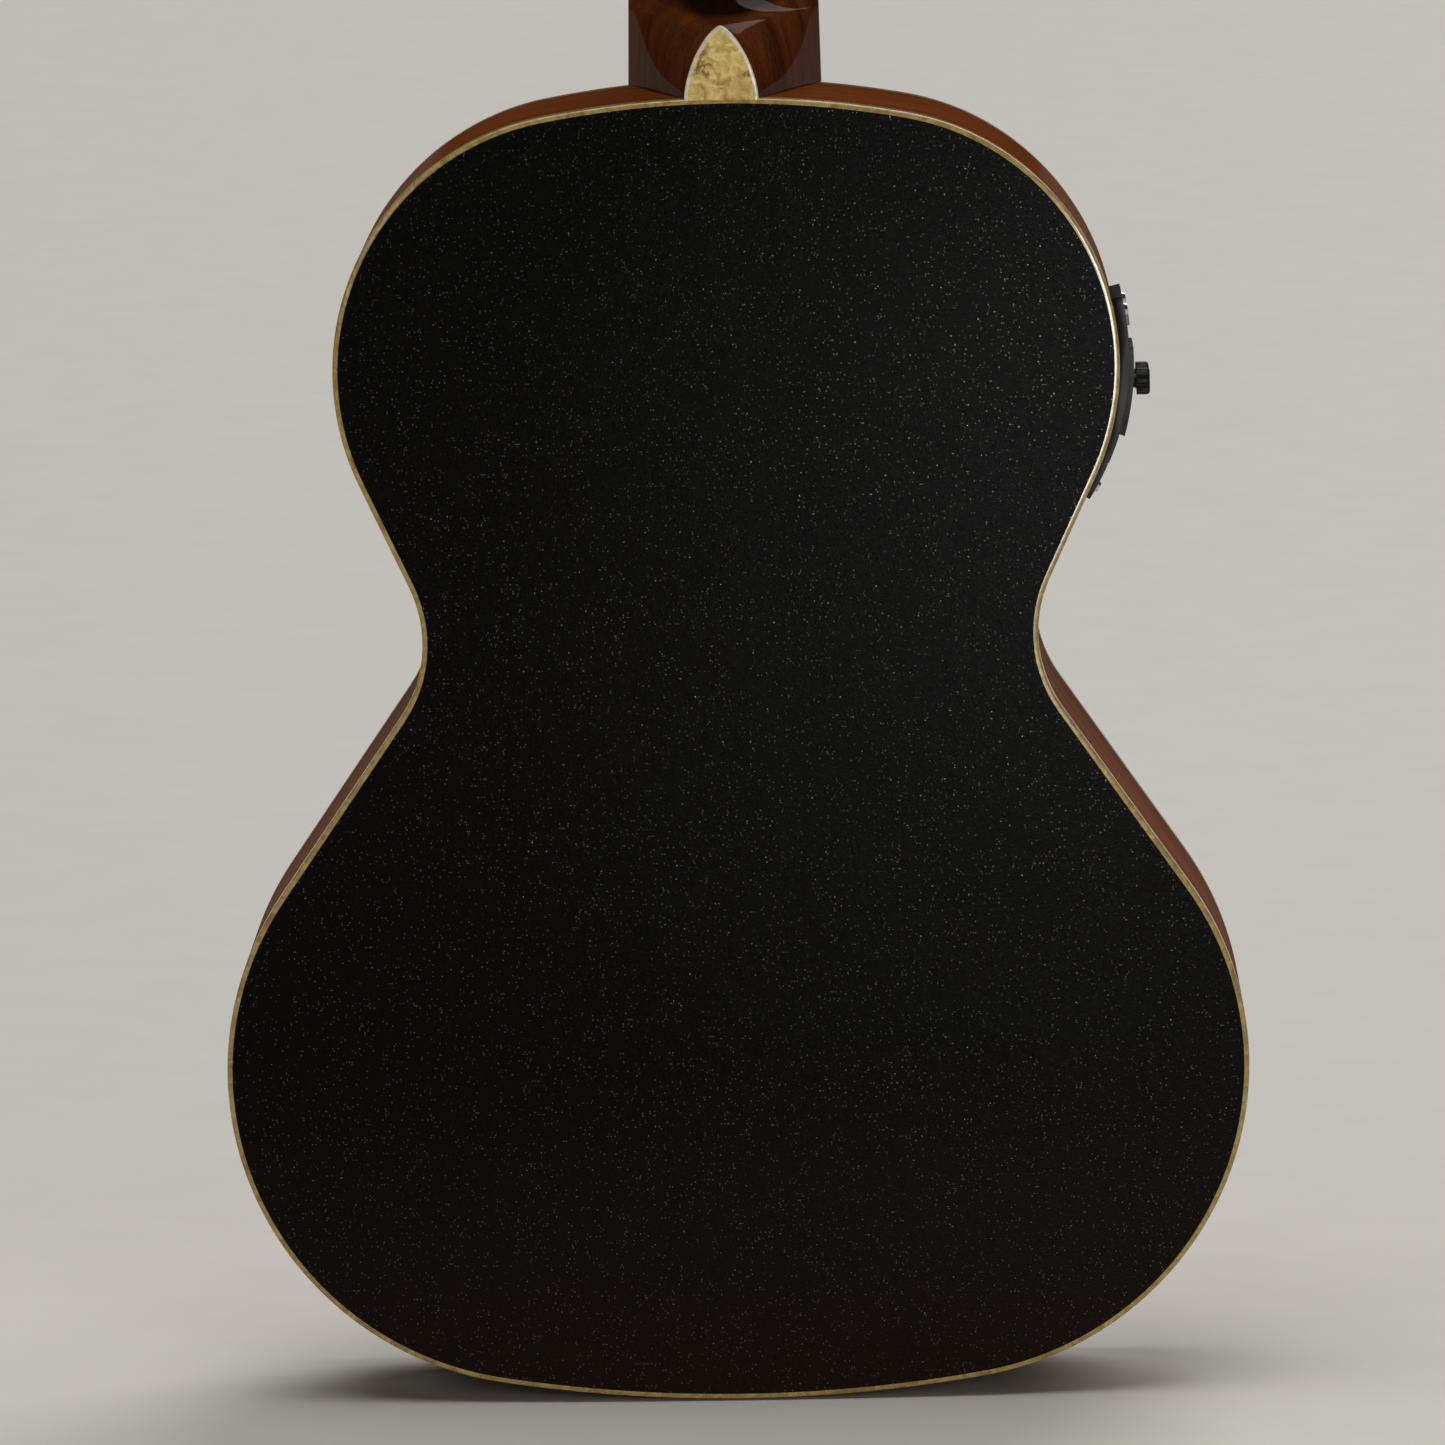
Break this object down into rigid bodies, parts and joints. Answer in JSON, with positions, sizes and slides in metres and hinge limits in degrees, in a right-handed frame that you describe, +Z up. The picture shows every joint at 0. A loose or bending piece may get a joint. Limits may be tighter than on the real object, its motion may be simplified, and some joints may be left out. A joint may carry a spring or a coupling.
{
  "type": "acoustic guitar",
  "caption": "Small-bodied acoustic-electric guitar with an arched back, set of geared tuning machines, side-mounted preamp, saddle pickup and output jack.",
  "frame": {"origin": "on the centreline at the nut's front edge, in the plane of the soundboard's outer face, where a hanger's yoke takes the headstock's flare", "axes": "+Z up the neck to the headstock, +X to the treble side, -Y out of the soundboard and +Y out of the back"},
  "size_m": [0.2988, 0.1014, 0.849],
  "materials": {
    "top_wood": "satin spruce top",
    "inner_wood": "bare spruce and cedar",
    "side_wood": "gloss mahogany",
    "neck_wood": "gloss mahogany",
    "back_laminate": "satin black high-pressure laminate",
    "pearloid": "pearly celluloid",
    "dark_wood": "oiled rosewood",
    "overlay": "gloss black veneer",
    "bone": "polished synthetic bone",
    "nickel_silver": "polished nickel silver",
    "chrome": "chrome plate",
    "steel": "plain steel",
    "brass": "plain brass",
    "black_plastic": "moulded black plastic",
    "black_gloss": "gloss black plastic",
    "grey_button": "soft grey rubber",
    "lens": "smoked acrylic",
    "string_metal": "wound bronze and plain steel",
    "lead_sheath": "flexible sheath"
  },
  "bodies": {
    "guitar": {"soundboard": "top_wood", "rosette": "pearloid", "bass_side": "side_wood", "treble_side": "side_wood", "back_plate": "back_laminate", "front_binding": "pearloid", "back_binding": "pearloid", "neck_block": "inner_wood", "tail_block": "inner_wood", "linings": "inner_wood", "x_brace_bass": "inner_wood", "x_brace_treble": "inner_wood", "soundboard_braces": "inner_wood", "bridge_plate": "inner_wood", "back_braces": "inner_wood", "neck": "neck_wood", "headstock": "neck_wood", "headstock_overlay": "overlay", "heel_cap": "pearloid", "fretboard": "dark_wood", "frets": "nickel_silver", "fret_dots": "pearloid", "nut": "bone", "truss_rod": "steel", "truss_rod_cover": "black_gloss", "neck_bolts": "steel", "bridge": "dark_wood", "saddle": "bone", "bridge_pins": "bone", "strings": "string_metal", "preamp_panel": "black_plastic", "preamp_box": "black_plastic", "display_lens": "lens", "jack_plate": "chrome", "output_jack": "chrome", "pickup_strip": "black_plastic", "leads": "lead_sheath", "tuner_plate_bass": "chrome", "tuner_plate_treble": "chrome", "tuner_bushings": "chrome", "screws": "chrome"},
    "volume_control": {"volume_knob": "black_plastic"},
    "tone_control": {"tone_knob": "black_plastic"},
    "tuner_switch": {"tuner_button": "grey_button"},
    "battery_drawer": {"battery_tray": "black_plastic", "coin_cells": "steel"},
    "truss_adjuster": {"truss_rod_nut": "brass"},
    "string_post_1": {"tuner_post_1": "chrome"},
    "key_1": {"tuner_knob_1": "chrome"},
    "string_post_2": {"tuner_post_2": "chrome"},
    "key_2": {"tuner_knob_2": "chrome"},
    "string_post_3": {"tuner_post_3": "chrome"},
    "key_3": {"tuner_knob_3": "chrome"},
    "string_post_4": {"tuner_post_4": "chrome"},
    "key_4": {"tuner_knob_4": "chrome"},
    "string_post_5": {"tuner_post_5": "chrome"},
    "key_5": {"tuner_knob_5": "chrome"},
    "string_post_6": {"tuner_post_6": "chrome"},
    "key_6": {"tuner_knob_6": "chrome"}
  },
  "joints": [
    {"name": "key_1_turn", "type": "hinge", "parent": "guitar", "child": "key_1", "pos_m": [0.0215, 0.02274, 0.0251], "axis": [1, 0, 0], "continuous": true},
    {"name": "post_1_turn", "type": "hinge", "parent": "guitar", "child": "string_post_1", "pos_m": [0.0215, 0.02443, 0.03189], "axis": [0, 0.9703, -0.2419], "continuous": true},
    {"name": "key_2_turn", "type": "hinge", "parent": "guitar", "child": "key_2", "pos_m": [0.0215, 0.03193, 0.06197], "axis": [1, 0, 0], "continuous": true},
    {"name": "post_2_turn", "type": "hinge", "parent": "guitar", "child": "string_post_2", "pos_m": [0.0215, 0.03362, 0.06876], "axis": [0, 0.9703, -0.2419], "continuous": true},
    {"name": "key_3_turn", "type": "hinge", "parent": "guitar", "child": "key_3", "pos_m": [0.0215, 0.04112, 0.09884], "axis": [1, 0, 0], "continuous": true},
    {"name": "post_3_turn", "type": "hinge", "parent": "guitar", "child": "string_post_3", "pos_m": [0.0215, 0.04282, 0.10563], "axis": [0, 0.9703, -0.2419], "continuous": true},
    {"name": "key_4_turn", "type": "hinge", "parent": "guitar", "child": "key_4", "pos_m": [-0.0215, 0.04112, 0.09884], "axis": [1, 0, 0], "continuous": true},
    {"name": "post_4_turn", "type": "hinge", "parent": "guitar", "child": "string_post_4", "pos_m": [-0.0215, 0.04282, 0.10563], "axis": [0, 0.9703, -0.2419], "continuous": true},
    {"name": "key_5_turn", "type": "hinge", "parent": "guitar", "child": "key_5", "pos_m": [-0.0215, 0.03193, 0.06197], "axis": [1, 0, 0], "continuous": true},
    {"name": "post_5_turn", "type": "hinge", "parent": "guitar", "child": "string_post_5", "pos_m": [-0.0215, 0.03362, 0.06876], "axis": [0, 0.9703, -0.2419], "continuous": true},
    {"name": "key_6_turn", "type": "hinge", "parent": "guitar", "child": "key_6", "pos_m": [-0.0215, 0.02274, 0.0251], "axis": [1, 0, 0], "continuous": true},
    {"name": "post_6_turn", "type": "hinge", "parent": "guitar", "child": "string_post_6", "pos_m": [-0.0215, 0.02443, 0.03189], "axis": [0, 0.9703, -0.2419], "continuous": true},
    {"name": "volume_turn", "type": "hinge", "parent": "guitar", "child": "volume_control", "pos_m": [-0.1143, 0.046, -0.41086], "axis": [-1, 0, 0], "range_deg": [0, 280]},
    {"name": "tone_turn", "type": "hinge", "parent": "guitar", "child": "tone_control", "pos_m": [-0.1143, 0.03, -0.41086], "axis": [-1, 0, 0], "range_deg": [-140, 140]},
    {"name": "tuner_press", "type": "slide", "parent": "guitar", "child": "tuner_switch", "axis": [1, 0, 0], "range_m": [0, 0.0008], "stiffness_N_per_m": 900},
    {"name": "battery_draw", "type": "slide", "parent": "guitar", "child": "battery_drawer", "axis": [-1, 0, 0], "range_m": [0, 0.028]},
    {"name": "truss_turn", "type": "hinge", "parent": "guitar", "child": "truss_adjuster", "pos_m": [0, 0.0065, 0.014], "axis": [0, 0, 1], "range_deg": [-180, 180]}
  ],
  "couplings": [
    {"joint": "post_1_turn", "follows": "key_1_turn", "ratio": -0.071429},
    {"joint": "post_2_turn", "follows": "key_2_turn", "ratio": -0.071429},
    {"joint": "post_3_turn", "follows": "key_3_turn", "ratio": -0.071429},
    {"joint": "post_4_turn", "follows": "key_4_turn", "ratio": 0.071429},
    {"joint": "post_5_turn", "follows": "key_5_turn", "ratio": 0.071429},
    {"joint": "post_6_turn", "follows": "key_6_turn", "ratio": 0.071429}
  ]
}
